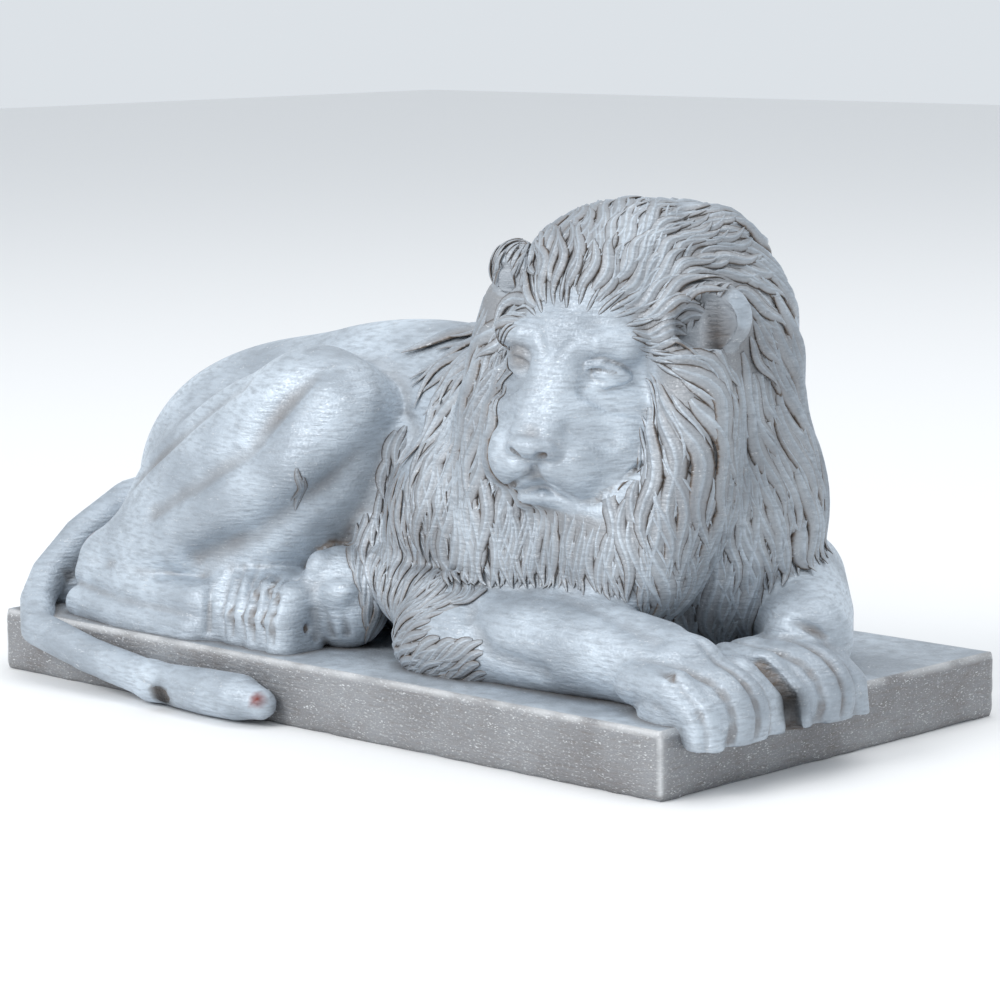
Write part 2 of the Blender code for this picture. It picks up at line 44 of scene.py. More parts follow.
# The lion lies on its slab with the hindquarters rolled on to the left hip. Body, legs and tail are built
# up like clay from eggs and limbs that melt together, measured in shares: a hundredth of the slab's length.
SLAB_LENGTH = 0.150
SLAB_WIDTH = 0.081
SLAB_HEIGHT = 0.0105
PAW_OVERHANG = 0.0065
SHARE = SLAB_LENGTH / 100
ORIGIN = np.array([0.0, 0.0, SLAB_HEIGHT])
SIDE = -SLAB_WIDTH / 2 / SHARE
GROUND = -SLAB_HEIGHT / SHARE
TOES = 50.0 + PAW_OVERHANG / SHARE
REACH = 7.0
FAR = 50.0


def turned(yaw=0.0, pitch=0.0, roll=0.0):
    """A turn about Z, with a lift of the +X end and a lean about X before it, in degrees."""
    turn = Matrix.Rotation(math.radians(yaw), 3, "Z")
    lift = Matrix.Rotation(math.radians(-pitch), 3, "Y")
    lean = Matrix.Rotation(math.radians(roll), 3, "X")
    return np.array(turn @ lift @ lean)


def egg(centre, radii, blend=2.0, cut=False, **turn):
    """A swelling of muscle, bone or hair, or a hollow where it cuts."""
    return {
        "centre": np.array(centre, float),
        "radii": np.array(radii, float),
        "axes": turned(**turn),
        "blend": blend,
        "cut": cut,
    }


def limb(*stations, blend=2.0, cut=False):
    """A leg, tail or fold: a round bar through stations of x, y, z and radius."""
    return {"stations": np.array(stations, float), "blend": blend, "cut": cut}


def placed(form, turn, place):
    """The same form, carried into the figure from a frame of its own."""
    form = dict(form)
    if "stations" in form:
        stations = form["stations"].copy()
        stations[:, :3] = stations[:, :3] @ turn.T + place
        form["stations"] = stations
    else:
        form["centre"] = turn @ form["centre"] + place
        form["axes"] = turn @ form["axes"]
    return form


def body_forms():
    return [
        egg((-32.5, 1.5, 13), (17.5, 17, 16), blend=4),
        egg((-8, 2, 17.5), (32, 13.5, 16), blend=5),
        egg((12, 1, 18), (20, 14.5, 17), blend=4),
        egg((15, -9, 13), (9, 7.5, 13), blend=3),
        egg((21, 11, 13), (11, 8.5, 13), blend=4),
        egg((-22.5, -11.5, 14), (22.5, 11, 12), blend=2.5, pitch=24),
        egg((-18, -13, 18), (14, 9, 10), blend=3, pitch=28),
        egg((-11, -13.5, 22.5), (8.5, 7.5, 9.3), blend=3),
        limb(
            (-5.5, -15.2, 25.3, 5.3), (-8.5, -16, 20, 5.2), (-14, -16.5, 13, 4.8), (-20, -17.5, 7, 4.5),
            blend=2.5),
        limb((-9, -17, 20, 5.2), (-25, -18.5, 11, 6.0), (-41, -17.5, 5, 4.4), blend=2.5),
        egg((-43, -7, 5), (5, 8, 7), blend=3),
        egg((-41.0, -12.0, 3.4), (3.8, 5.6, 5.0), blend=2),
        egg((-48.0, -4.0, 5.0), (3.2, 5.0, 5.5), blend=2),
        limb((0, -4, 15, 6), (-4, -9, 10, 5), (-7, -12, 6, 4), blend=2),
        egg((6, -11, 13.5), (7.5, 5.8, 9.5), blend=2),
        limb((-30, 3, 7, 12), (10, 2, 7, 11), (24, 2, 7, 10), blend=4),
        egg((-24, 9, 7), (19, 10, 10), blend=3),
        limb((-8, 14, 8, 6), (-22, 17, 5, 5), (-34, 14, 4, 4.5), blend=3),
    ]


# The right hind foot turns its toes outwards, and the left one shows its sole under the belly. The forepaws
# hang over the slab's front edge, and the tail drops over its right side to the ground.
def hind_feet_forms():
    forms = [
        limb((-40.5, -17.5, 4.4, 4.0), (-30, -18.5, 3.2, 3.6), (-18, -18, 3.8, 4.2), blend=1.5),
        limb((-41.5, -20.6, 4.2, 2.1), (-31, -22.6, 3.6, 2.4), (-20, -22.8, 3.6, 2.6), blend=0.6),
        limb((-41.0, -22.6, 1.2, 2.0), (-31, -24.0, 0.8, 2.2), (-20, -24.0, 0.8, 2.2), blend=0.6),
        egg((-11.5, -18.6, 3.4), (7.4, 4.6, 4.2), blend=1.2),
        limb((-21, -20.5, 0.6, 2.4), (-7, -20.5, 0.6, 2.4), blend=1),
        egg((-4.6, -16.4, 5.2), (5.4, 4.2, 5.6), blend=0.6),
        egg((-5.6, -19.2, 8.6), (1.5, 1.3, 2.0), blend=0.7, roll=-20),
        egg((-2.4, -19.4, 6.2), (2.4, 1.4, 1.5), blend=0.7, pitch=20),
    ]
    for toe in range(4):
        x = -17.6 + 3.6 * toe
        y = SIDE + 4.4 - 0.3 * toe
        forms.append(limb(
            (x + 0.8 - 0.5 * toe, y + 5.5, 5.0, 2.1), (x - 0.2, y + 1.8, 5.2, 2.1), (x, y + 0.2, 3.0, 2.1),
            (x + 0.3, y, 0.6, 1.9), blend=1.7))
    return forms


def fore_leg_forms():
    reach = TOES - 1.7
    forms = [
        egg((14.5, -16.5, 2.6), (8.5, 6.2, 5.8), blend=2),
        limb(
            (11, -18, 3.4, 4.2), (26, -18.0, 4.0, 4.7), (37, -17.8, 4.2, 4.4), (45, -17.6, 3.4, 4.2),
            blend=1.5),
        limb((20, -15, 6.4, 2.4), (30, -15.4, 7.0, 2.2), (41, -16, 5.8, 2.0), blend=1.6),
        egg((42.0, -21.4, 2.6), (2.4, 1.9, 2.0), blend=1.2),
        egg((47.8, -17.9, 0.2), (6.8, 6.6, 5.2), blend=0.8),
        limb((30, 17, 6.5, 6.0), (39.5, 7.5, 5.4, 5.2), (45.5, 0.8, 4.6, 4.6), blend=1.5),
        egg((43.5, -5.6, 3.0), (2.2, 2.2, 2.4), blend=1.2),
        egg((47.8, -4.4, 0.2), (6.8, 6.2, 5.2), blend=0.8),
    ]
    for root, y, wide in (
            (-21.6, -22.8, 2.0), (-19.2, -19.3, 2.0), (-16.8, -16.0, 1.9), (-14.6, -13.2, 1.8),
            (-8.0, -9.3, 1.9), (-5.6, -6.1, 1.9), (-2.6, -2.9, 1.8), (0.2, 0.0, 1.8)):
        forms.append(limb(
            (42, root, 3.2, 1.8), (reach - 4.4, y, 3.2, wide), (reach - 1.2, y, 0.8, wide),
            (reach - 0.4, y, -3.6, wide - 0.2), blend=0.6))
    forms.append(egg((30, -9, 3.5), (5, 5, 4), blend=2))
    forms.append(egg((52, -11, -7.4), (9, 45, 5.6), blend=0.15, cut=True))
    return forms


def tail_forms():
    drop = SIDE - 1.6
    return [
        egg((-46.2, -15.0, 5.5), (2.6, 5.5, 6.5), blend=0.8, cut=True),
        limb((-48.8, -11, 8, 1.8), (-48.9, -14.5, 4, 2.0), (-48.4, -18.5, 0.8, 2.2), blend=0.8),
        limb(
            (-44, -2, 12, 3.2), (-48.5, -9, 10.4, 2.6), (-50.0, -15, 7.0, 2.3), (-49.6, -20.5, 3.2, 2.1),
            (-47, SIDE + 2.6, 0.9, 2.0), (-42.5, drop + 0.6, -1.3, 2.0), (-33, drop + 0.2, -3.1, 2.0),
            (-22, drop, -4.5, 2.1), blend=1),
        limb(
            (-22, drop, -4.5, 2.1), (-13, drop - 0.3, GROUND + 2.6, 2.5),
            (-7.8, drop - 0.3, GROUND + 2.7, 2.5), (-4.6, drop - 0.2, GROUND + 2.4, 1.7), blend=1),
        egg((-18.6, drop - 1.9, -5.2), (1.7, 1.8, 0.9), blend=0.2, cut=True),
    ]


# The head is turned to the lion's right and leans a little, and the face is turned further than the mane.
# Each has a frame of its own: x out of the face, y to the lion's left and z up, from between the eyes.
EYES = np.array([24.6, -12.6, 31.9])
HEAD = turned(yaw=-67.0, roll=-4.0)
FACE = turned(yaw=-78.0, roll=-4.0)


def mane_forms():
    return [
        egg((23, 2, 22), (15.5, 13, 23), blend=3),
        egg((31, 3, 16), (10.5, 12, 15), blend=3),
        egg((23.5, -3, 37), (11, 10.5, 11), blend=3),
        egg((26.5, 3, 33), (12, 11.5, 14.5), blend=3),
        egg((28, -10, 14), (9.5, 5.5, 10), blend=3),
        limb((14, -8, 37, 4), (13.5, -10.5, 26, 4.2), (16, -11.5, 16, 4.2), (20, -12, 11, 3.6), blend=2),
        limb((33, -4, 37, 4.5), (36, -5.5, 28, 4.6), (36, -7, 19, 4.8), (34, -10, 12, 4.2), blend=2),
        egg((21.5, -7.5, 43.5), (3.8, 4.0, 2.6), blend=1.2),
        egg((26.5, -2.5, 45.6), (4.0, 4.0, 2.4), blend=1.2),
        egg((30.5, 3.0, 44.6), (3.8, 4.0, 2.6), blend=1.2),
    ]


def fringe_forms():
    return [limb(
        (-1, -11, 21.5, 2.6), (-3.8, -12, 14, 2.4), (-1.5, -13.5, 9, 2.8), (6, -16, 6.4, 3.4),
        (12, -17, 6, 3.6), blend=1.2)]


def face_forms():
    forms = [
        egg((-6.5, 0, 2.0), (7.6, 9.0, 8.0), blend=2),
        egg((-5.0, 0, -4.0), (6.6, 8.8, 7.4), blend=2),
        egg((-0.8, 0, -8.2), (6.0, 6.2, 3.8), blend=2),
        egg((-3.6, 0, -10.6), (6.2, 6.6, 2.8), blend=1.4),
    ]
    for way in (1, -1):
        forms += [
            egg((0.8, 3.5 * way, -9.2), (4.8, 3.8, 3.9), blend=1.2),
            egg((2.8, 2.1 * way, -9.6), (3.3, 2.3, 2.0), blend=0.8),
            egg((-2.2, 6.0 * way, -8.8), (4.6, 3.2, 4.6), blend=1.4),
            egg((-1.8, 6.0 * way, -5.0), (3.2, 3.0, 3.2), blend=2.2),
            egg((0.6, 2.9 * way, -4.8), (3.2, 2.6, 3.6), blend=2.0),
            limb(
                (0.2, 1.1 * way, 3.8, 1.8), (2.0, 1.1 * way, -1.5, 1.9), (4.3, 1.2 * way, -6.3, 1.9),
                blend=1.6),
            limb(
                (0.9, 1.9 * way, 2.5, 1.0), (0.9, 4.4 * way, 3.0, 1.4), (-0.4, 6.6 * way, 2.9, 1.7),
                blend=1.4),
            egg((-0.75, 4.7 * way, -0.1), (2.1, 2.5, 1.5), blend=0.2),
            limb(
                (1.2, 2.5 * way, -0.5, 0.3), (1.5, 3.5 * way, 0.8, 0.42), (1.35, 4.9 * way, 1.15, 0.46),
                (0.3, 6.5 * way, 0.5, 0.4), (-0.6, 7.3 * way, -0.3, 0.3), blend=0.2),
            limb(
                (1.2, 2.5 * way, -0.6, 0.3), (1.25, 3.7 * way, -1.15, 0.36), (0.95, 5.2 * way, -1.15, 0.36),
                (-0.2, 6.9 * way, -0.4, 0.3), blend=0.25),
        ]
    forms += [
        egg((5.9, 0, -7.5), (1.6, 2.8, 1.25), blend=0.35),
        egg((4.9, 2.3, -8.0), (1.5, 1.1, 0.95), blend=0.35),
        egg((4.9, -2.3, -8.0), (1.5, 1.1, 0.95), blend=0.35),
        limb(
            (-2.4, -6.8, -13.6, 0.6), (0.4, -5.0, -14.0, 0.7), (2.3, -2.6, -13.5, 0.7),
            (3.0, 0, -13.0, 0.7), (2.3, 2.6, -13.5, 0.7), (0.4, 5.0, -14.0, 0.7),
            (-2.4, 6.8, -13.6, 0.6), blend=0.6),
        egg((0.2, 0, -13.6), (2.4, 3.8, 1.4), blend=0.8),
    ]
    for way in (1, -1):
        forms.append(egg((7.0, 1.5 * way, -8.2), (1.1, 0.85, 0.45), blend=0.2, cut=True, roll=25 * way))
    return [placed(form, FACE, EYES) for form in forms]


def ear_forms():
    forms = [
        egg((-6.0, -8.2, 8.6), (2.3, 2.8, 3.0), blend=0.8, yaw=-15),
        egg((-4.2, -8.7, 7.9), (1.5, 1.1, 1.5), blend=0.5, cut=True, yaw=-15),
        egg((-3.2, 14.2, 6.2), (2.6, 4.0, 3.7), blend=0.8, yaw=15),
        egg((-0.6, 14.1, 5.8), (2.3, 3.4, 3.1), blend=0.4, cut=True, yaw=15),
    ]
    return [placed(form, HEAD, EYES) for form in forms]


def figure_forms():
    return (
        body_forms() + hind_feet_forms() + fore_leg_forms() + fringe_forms() + mane_forms()
        + face_forms() + ear_forms() + tail_forms())


# The muscles show as soft grooves and ridges laid along the skin, and the toes are parted by finer ones.
HAUNCH_GROOVES = (
    ((-18, -17, 26), (-26, -18, 21), (-36, -17, 15)),
    ((-6, -17, 28), (-13, -21, 20.5), (-20, -22, 16.5), (-27, -22, 12.5)),
    ((-1, -18, 20), (-7, -21, 15), (-12.5, -21.5, 11.5), (-21, -23, 9)),
)
HAUNCH_RIDGES = (
    ((-1.5, -16, 26), (-6.1, -22, 20), (-17.3, -23.5, 13.8), (-32.5, -22.5, 5.6)),
)
FORE_LEG_GROOVES = (
    ((17, -19, 8.5), (19.5, -21.5, 6), (23, -22.5, 3.5), (30, -22.8, 2.2)),
    ((28, -16, 8.8), (36, -18.6, 8.4), (43, -19.6, 6.4)),
)
PAW_EDGE = ((45, -22.5, 5), (49, -23.6, 4), (52, -24.3, 2.5), (53.4, -24.4, 0.5), (53.6, -24.4, -1.5))
TOE_GAPS = ((-21.2, 0.5), (-17.7, 0.5), (-14.6, 0.5), (-11.3, 1.0), (-7.7, 0.5), (-4.5, 0.5), (-1.4, 0.5))
TOE_PROFILE = ((46, 6), (49.5, 5.6), (52, 4.8), (54, 3), (55, 1), (55.2, -1.5))
HIND_TOE_LINES = (-17.4, -15.7, -13.9, -12.1, -10.3, -8.6, -6.9)
SOLE_GROOVES = (
    ((-7.4, -20.4, 9.0), (-7.2, -20.8, 5.0), (-6.8, -20.6, 1.5)),
    ((-5.2, -20.6, 4.4), (-5.0, -20.6, 1.2)),
    ((-3.2, -20.4, 4.2), (-3.0, -20.4, 1.0)),
    ((-1.2, -19.8, 4.0), (-1.0, -19.8, 1.2)),
)


def laid(places, forms, radius, lift, blend, cut):
    """A bar whose stations follow the skin. A groove starts clear of it, so that it fades in."""
    along = settled(np.array(places, float), forms)
    _, ways = outward(along, forms)
    lifts = np.full((len(along), 1), lift)
    if cut:
        lifts[0] = radius
    stations = np.hstack([along + ways * lifts, np.full((len(along), 1), radius)])
    return {"stations": stations, "blend": blend, "cut": cut}


def muscle_forms(forms):
    return [
        laid(places, forms, 1.2, 0.7, 2.2, True) for places in HAUNCH_GROOVES
    ] + [
        laid(places, forms, 1.8, -1.2, 2.0, False) for places in HAUNCH_RIDGES
    ] + [
        laid(places, forms, 0.5, 0.15, 0.5, True) for places in SOLE_GROOVES
    ] + [
        laid(places, forms, 0.8, 0.5, 1.4, True) for places in FORE_LEG_GROOVES
    ] + [
        laid([(x, y, z) for x, z in TOE_PROFILE], forms, wide, 0.1, 0.5, True) for y, wide in TOE_GAPS
    ] + [
        laid([(x - 1.6, -20.5, 8), (x, -24.5, 5), (x + 0.5, -25.5, 1.2)], forms, 0.35, 0.1, 0.5, True)
        for x in HIND_TOE_LINES
    ] + [
        laid(PAW_EDGE, forms, 0.45, 0.1, 0.5, True)
    ]


# Fine lines of the face, in its frame: mouth, middle of the lip, furrows beside the nose and on the brow
FACE_LINES = (
    (((6.6, 0, -8.8), (5.7, 0, -10.0), (5.2, 0, -11.2)), 0.3, 0.1, 0.3),
    (
        ((5.6, 0, -11.4), (4.8, 2.2, -12.1), (3.0, 4.4, -12.9), (0.8, 6.4, -13.2), (-1.2, 8.0, -12.8)),
        0.36, 0.05, 0.35),
    (((1.3, 2.7, 0.15), (1.5, 3.7, 0.35), (1.35, 4.9, 0.6), (0.6, 6.1, 0.15)), 0.16, 0.0, 0.15),
    (((1.8, 2.6, -1.6), (1.7, 3.2, -2.8), (0.7, 5.6, -3.6), (-1.2, 8.2, -4.0)), 0.55, 0.25, 0.8),
    (((4.4, 3.2, -5.4), (3.0, 4.6, -6.4), (0.6, 6.4, -6.6)), 0.5, 0.45, 1.2),
    (((2.3, 0.9, 1.4), (1.8, 1.7, 2.9)), 0.35, 0.25, 0.6),
)


def face_lines(forms):
    lines = []
    for places, radius, lift, blend in FACE_LINES:
        for way in (1, -1):
            spots = np.array(places, float) * (1, way, 1)
            lines.append(laid(spots @ FACE.T + EYES, forms, radius, lift, blend, True))
    return lines


# The forms make a field: how far a point lies outside the figure. A rough skin over them is settled on to
# the field's surface, and made finer where the carving is fine.
def form_distance(points, form):
    if "stations" in form:
        near = np.full(len(points), FAR)
        for start, end in zip(form["stations"][:-1], form["stations"][1:]):
            along = end[:3] - start[:3]
            part = np.clip((points - start[:3]) @ along / (along @ along), 0, 1)
            gap = np.linalg.norm(points - start[:3] - part[:, None] * along, axis=1)
            near = np.minimum(near, gap - start[3] - (end[3] - start[3]) * part)
        return near
    scaled = ((points - form["centre"]) @ form["axes"]) / form["radii"]
    size = np.linalg.norm(scaled, axis=1)
    slope = np.linalg.norm(scaled / form["radii"], axis=1) + 1e-9
    return size * (size - 1) / slope


def form_box(form):
    if "stations" in form:
        places = form["stations"][:, :3]
        thick = form["stations"][:, 3:]
        return (places - thick).min(axis=0), (places + thick).max(axis=0)
    reach = np.linalg.norm(form["axes"] * form["radii"], axis=1)
    return form["centre"] - reach, form["centre"] + reach


def melted(first, second, blend):
    mix = np.clip(0.5 + 0.5 * (second - first) / blend, 0, 1)
    return second + (first - second) * mix - blend * mix * (1 - mix)


def distance(points, forms):
    total = np.full(len(points), FAR)
    for form in forms:
        low, high = form_box(form)
        near = np.flatnonzero(np.all((points > low - REACH) & (points < high + REACH), axis=1))
        own = form_distance(points[near], form)
        if form["cut"]:
            total[near] = -melted(-total[near], own, form["blend"])
        else:
            total[near] = melted(total[near], own, form["blend"])
    return total


def outward(points, forms, step=0.04):
    here = distance(points, forms)
    ahead = [distance(points + step * axis, forms) - here for axis in np.eye(3)]
    slope = np.stack(ahead, axis=1) / step
    return here, slope / (np.linalg.norm(slope, axis=1, keepdims=True) + 1e-9)


def settled(points, forms, rounds=4):
    for _ in range(rounds):
        here, way = outward(points, forms)
        points = points - way * np.clip(here, -1.5, 1.5)[:, None]
    return points


def add_ball(bm, centre, radii, axes, level):
    turn = Matrix([list(row) for row in axes]).to_4x4()
    stretch = Matrix.Diagonal((*radii, 1))
    bmesh.ops.create_icosphere(
        bm, subdivisions=level, radius=1, matrix=Matrix.Translation(list(centre)) @ turn @ stretch)


def remeshed(mesh, step):
    rough = bpy.data.objects.new("rough", mesh)
    bpy.context.scene.collection.objects.link(rough)
    skin = rough.modifiers.new("skin", "REMESH")
    skin.mode = "VOXEL"
    skin.voxel_size = step
    skinned = bpy.data.meshes.new_from_object(rough.evaluated_get(bpy.context.evaluated_depsgraph_get()))
    bpy.data.objects.remove(rough)
    return skinned


def rough_figure(forms, step):
    """A closed skin over balls set along every form, with vertices about one step apart."""
    bm = bmesh.new()
    for form in forms:
        if form["cut"]:
            continue
        if "centre" in form:
            add_ball(bm, form["centre"], form["radii"], form["axes"], 3)
            continue
        for start, end in zip(form["stations"][:-1], form["stations"][1:]):
            pieces = max(2, math.ceil(np.linalg.norm(end[:3] - start[:3]) / (0.6 * min(start[3], end[3]))))
            for part in np.linspace(0, 1, pieces):
                ball = start + (end - start) * part
                add_ball(bm, ball[:3], (ball[3],) * 3, np.eye(3), 2)
    mesh = bpy.data.meshes.new("rough_figure")
    bm.to_mesh(mesh)
    bm.free()
    return remeshed(mesh, step)


def vertices_of(mesh):
    flat = np.empty(len(mesh.vertices) * 3)
    mesh.vertices.foreach_get("co", flat)
    return flat.reshape(-1, 3)


def smoothed(mesh, values, rounds, share=0.5):
    ends = np.empty(len(mesh.edges) * 2, dtype=np.int64)
    mesh.edges.foreach_get("vertices", ends)
    first, second = ends.reshape(-1, 2).T
    count = np.bincount(first, minlength=len(values)) + np.bincount(second, minlength=len(values))
    flat = values.reshape(len(values), -1)
    for _ in range(rounds):
        total = np.stack([
            np.bincount(first, column[second], len(values)) + np.bincount(second, column[first], len(values))
            for column in flat.T], axis=1)
        flat = (1 - share) * flat + share * total / count[:, None]
    return flat.reshape(values.shape)


def split_where(mesh, chosen):
    """Every face whose corners are all chosen is cut in four."""
    bm = bmesh.new()
    bm.from_mesh(mesh)
    bm.verts.ensure_lookup_table()
    edges = [edge for edge in bm.edges if chosen[edge.verts[0].index] and chosen[edge.verts[1].index]]
    bmesh.ops.subdivide_edges(bm, edges=edges, cuts=1, use_grid_fill=True)
    bm.to_mesh(mesh)
    bm.free()


def face_frame(points):
    return (points - EYES) @ HEAD


# The mane grows outside a bare oval, the face, and short of the fore legs.
FACE_HALF_WIDTH = 8.3
FACE_HALF_HEIGHT = 10.5
FACE_OFFSET = 1.2
FACE_MIDDLE = -3.5


def on_mane(points):
    seen = face_frame(points)
    power = np.where(seen[:, 2] > -3, 2.4, 4)
    across = np.abs((seen[:, 1] - FACE_OFFSET) / FACE_HALF_WIDTH)
    upward = np.abs((seen[:, 2] - FACE_MIDDLE) / FACE_HALF_HEIGHT)
    face = across ** power + upward ** power
    near = distance(points, mane_forms()) < 2.2
    bare = distance(points, fore_leg_forms()) < 0.6
    return near & ((face > 1) | (seen[:, 0] < -7)) & ~bare & (points[:, 2] > 3)


# The skin is settled on the field in ever finer steps: the body coarsest, then paws and head, then the face.
SKIN_STEP = 0.75


def refined(mesh, points, chosen, forms):
    mesh.vertices.foreach_set("co", points.ravel())
    split_where(mesh, chosen)
    return settled(vertices_of(mesh), forms, 1)


def hollows(mesh, points, normals, rounds):
    """How deep each point lies below its neighbours' mean, in shares."""
    return np.sum((smoothed(mesh, points, rounds) - points) * normals, axis=1)


def silver_paint():
    """Silver paint brushed over layered plastic: grain, streaks, brown wash in hollows, flakes painted as
    glints, painted shade, edges pale from wear and painted highlight.
    """
    paint = bpy.data.materials.new("silver_paint")
    paint.use_nodes = True
    nodes = paint.node_tree.nodes
    links = paint.node_tree.links
    shader = nodes["Principled BSDF"]
    shader.inputs["Metallic"].default_value = 0.45
    place = nodes.new("ShaderNodeTexCoord").outputs["Object"]

    def grain_of(scale, detail, stretch=(1, 1, 1)):
        mapping = nodes.new("ShaderNodeMapping")
        mapping.inputs["Scale"].default_value = stretch
        texture = nodes.new("ShaderNodeTexNoise")
        texture.inputs["Scale"].default_value = scale
        texture.inputs["Detail"].default_value = detail
        links.new(place, mapping.inputs["Vector"])
        links.new(mapping.outputs["Vector"], texture.inputs["Vector"])
        return texture.outputs["Fac"]

    def ranged(value, low, high, to_low, to_high):
        node = nodes.new("ShaderNodeMapRange")
        node.inputs["From Min"].default_value = low
        node.inputs["From Max"].default_value = high
        node.inputs["To Min"].default_value = to_low
        node.inputs["To Max"].default_value = to_high
        links.new(value, node.inputs["Value"])
        return node.outputs["Result"]

    def mixed(factor, first, second):
        node = nodes.new("ShaderNodeMix")
        node.data_type = "RGBA"
        links.new(factor, node.inputs["Factor"])
        for socket, value in (("A", first), ("B", second)):
            if isinstance(value, tuple):
                node.inputs[socket].default_value = (*value, 1)
            else:
                links.new(value, node.inputs[socket])
        return node.outputs["Result"]

    def maths(operation, first, second):
        node = nodes.new("ShaderNodeMath")
        node.operation = operation
        for socket, value in zip(node.inputs, (first, second)):
            if isinstance(value, (int, float)):
                socket.default_value = value
            else:
                links.new(value, socket)
        return node.outputs[0]

    def painted_on(attribute):
        node = nodes.new("ShaderNodeAttribute")
        node.attribute_name = attribute
        return node.outputs["Fac"]

    grain = grain_of(2300, 2)
    streaks = grain_of(420, 3, (1, 1, 5))
    patches = grain_of(70, 4)
    tone = mixed(ranged(patches, 0.35, 0.65, 0, 1), (0.36, 0.405, 0.455), (0.60, 0.67, 0.74))
    tone = mixed(ranged(streaks, 0.42, 0.7, 0, 0.6), tone, (0.30, 0.33, 0.365))
    # Brown wash in the hollows. The same attribute also carries painted shade under the mane, on the locks'
    # low sides and on the slab where the lion meets it.
    wash_and_shade = maths("MULTIPLY", painted_on("wash_and_shade"), ranged(streaks, 0.3, 0.7, 1.15, 0.75))
    tone = mixed(wash_and_shade, tone, (0.15, 0.115, 0.09))
    # Painted glints: bright specks where the metal flakes in the paint catch the light, denser in clusters
    # and on the slab's sides.
    flake_glints = ranged(grain_of(4500, 1, (0.4, 0.4, 1.2)), 0.6, 0.72, 0, 1)
    clusters = ranged(grain_of(300, 3, (1, 1, 3)), 0.5, 0.7, 0, 1)
    flake_glints = maths("MULTIPLY", flake_glints, maths("ADD", maths("MULTIPLY", clusters, 0.8), painted_on("glinting_flakes")))
    tone = mixed(flake_glints, tone, (0.70, 0.715, 0.73))
    # Pale edges: partly paint rubbed off, partly a painted highlight.
    tone = mixed(painted_on("wear_and_highlight"), tone, (0.72, 0.73, 0.74))
    tone = mixed(painted_on("bare"), tone, (0.16, 0.02, 0.01))
    # Painted shade: near black in the deep gaps and holes.
    links.new(mixed(painted_on("gap"), tone, (0.008, 0.008, 0.008)), shader.inputs["Base Color"])
    links.new(ranged(grain, 0.3, 0.7, 0.42, 0.68), shader.inputs["Roughness"])
    bump = nodes.new("ShaderNodeBump")
    bump.inputs["Strength"].default_value = 0.5
    bump.inputs["Distance"].default_value = 0.0004
    links.new(maths("ADD", maths("MULTIPLY", grain, 0.5), streaks), bump.inputs["Height"])
    links.new(bump.outputs["Normal"], shader.inputs["Normal"])
    return paint


def stored(mesh, name, values):
    mesh.attributes.new(name, "FLOAT", "POINT").data.foreach_set("value", values.astype(np.float32))


forms = figure_forms()
forms += muscle_forms(forms)
forms += face_lines(forms)
mesh = rough_figure(forms, SKIN_STEP)
points = settled(vertices_of(mesh), forms, 3)
fine = (distance(points, face_forms() + ear_forms()) < 1.0) & (face_frame(points)[:, 0] > -9)
fine |= distance(points, fore_leg_forms() + hind_feet_forms()) < 0.5
points = refined(mesh, points, fine, forms)
seen = face_frame(points)
on_face = (np.abs(seen[:, 1]) < 8.5) & (seen[:, 2] > -15.5) & (seen[:, 2] < 5) & (seen[:, 0] > -5)
points = refined(mesh, points, on_face, forms)
points = settled(smoothed(mesh, points, 1), forms, 2)
_, normals = outward(points, forms)
mesh.vertices.foreach_set("co", (points * SHARE + ORIGIN).ravel())
mesh.update()
mesh.shade_smooth()
sunk = hollows(mesh, points, normals, 3) * 2.8 + hollows(mesh, points, normals, 12) * 0.9
# Painted shade: deep gaps and holes behind and under the tail, under the belly, between the mane and the fore
# leg and between the forepaws are painted nearly black.
SHADE_PAINTED_GAPS = (
    ((-47, -13, 5), 6.0), ((-45.5, -18, 2), 4.0), ((0, -16, 2.5), 5), ((37, -4, 12), 7), ((46, -11, 0), 4),
    ((53, -11.3, 1), 3.5))
SHADE_PAINTED_HOLES = (((-18.6, -30.6, -5.6), 2.1), ((52.6, -11.3, 0.6), 2.7))
BARE_SPOTS = (((-44.0, -19.1, 1.9), 1.4), ((-43.4, -19.2, 8.3), 1.1), ((-3.8, -30.0, -3.8), 1.1))
FACE_STAINS = (((5.4, 0, -6.6), 1.7), ((1.2, -4.8, 0.8), 2.4), ((5.0, 0, -11.0), 1.8), ((-1, 7.6, -13), 1.6))


def spotted(points, spots):
    """1 at the middle of each spot, falling to 0 at its size."""
    away = [np.linalg.norm(points - place, axis=1) / size for place, size in spots]
    return np.clip(1.5 * (1 - np.min(away, axis=0)), 0, 1)


deep = spotted(points, SHADE_PAINTED_GAPS) * np.clip(3 * hollows(mesh, points, normals, 25) + 0.25, 0, 0.95)
deep = np.maximum(deep, spotted(points, SHADE_PAINTED_HOLES))
stains = 0.6 * spotted((points - EYES) @ FACE, FACE_STAINS)
in_ears = distance(points, ear_forms()) < 0.4
# Painted shade: the skin under the mane is darkened.
covered = smoothed(mesh, on_mane(points).astype(float), 12)
shade_under_hair = 0.5 * np.clip(4 * covered - 3, 0, 1)
wash_and_shade = np.maximum.reduce([sunk, stains, shade_under_hair])
stored(mesh, "wash_and_shade", np.clip(wash_and_shade, 0, np.where(in_ears, 0.3, 0.9)))
stored(mesh, "gap", deep)
stored(mesh, "bare", spotted(points, BARE_SPOTS))
paint = silver_paint()
mesh.materials.append(paint)
lion = bpy.data.objects.new("printed_lion", mesh)
bpy.context.scene.collection.objects.link(lion)

